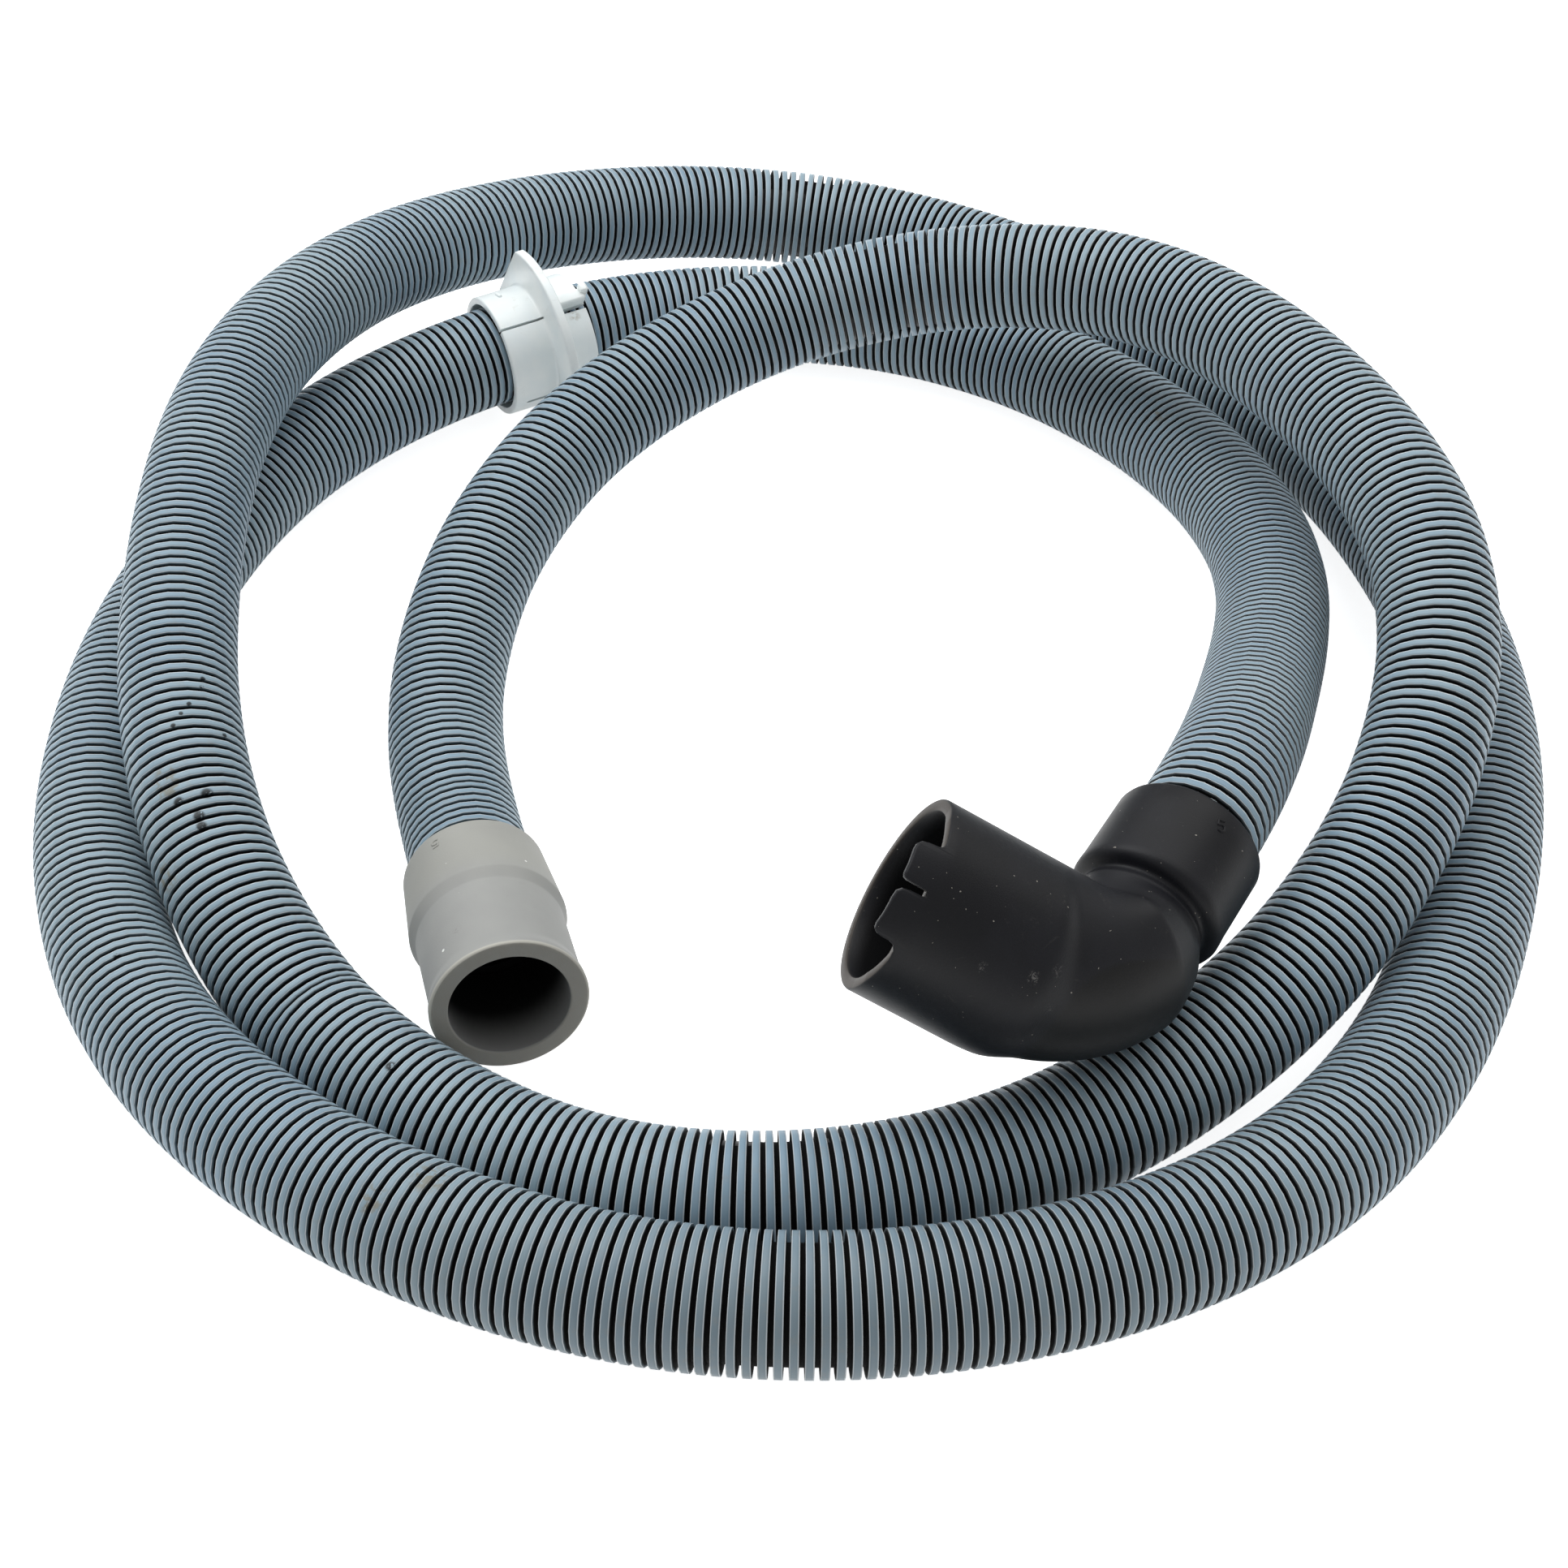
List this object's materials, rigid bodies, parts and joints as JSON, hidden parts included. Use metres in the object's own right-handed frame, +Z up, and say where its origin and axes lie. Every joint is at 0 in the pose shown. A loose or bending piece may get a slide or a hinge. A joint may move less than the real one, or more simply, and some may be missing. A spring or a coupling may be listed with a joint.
{
  "type": "dishwasher drain hose with elbow cuff",
  "caption": "Coiled corrugated dishwasher drain hose with a straight rubber cuff, a rubber elbow cuff and a bulkhead clip on the hose.",
  "frame": {"origin": "centre of the bounding box, at its base, where the coil lies on the ground", "axes": "+Z up from the ground the coil lies on; +Y along the coil's longer side, away from the two mouths; +X across the coil, with the elbow on the +X side"},
  "size_m": [0.323, 0.3819, 0.0779],
  "materials": {
    "hose_plastic": "semi-gloss corrugated grey-blue plastic",
    "cuff_rubber": "matt grey moulded rubber",
    "elbow_rubber": "satin black moulded rubber",
    "clip_plastic": "semi-gloss off-white moulded plastic"
  },
  "bodies": {
    "root": {"drain_hose": "hose_plastic", "straight_cuff": "cuff_rubber", "elbow_cuff": "elbow_rubber", "bulkhead_clip": "clip_plastic"}
  },
  "joints": []
}
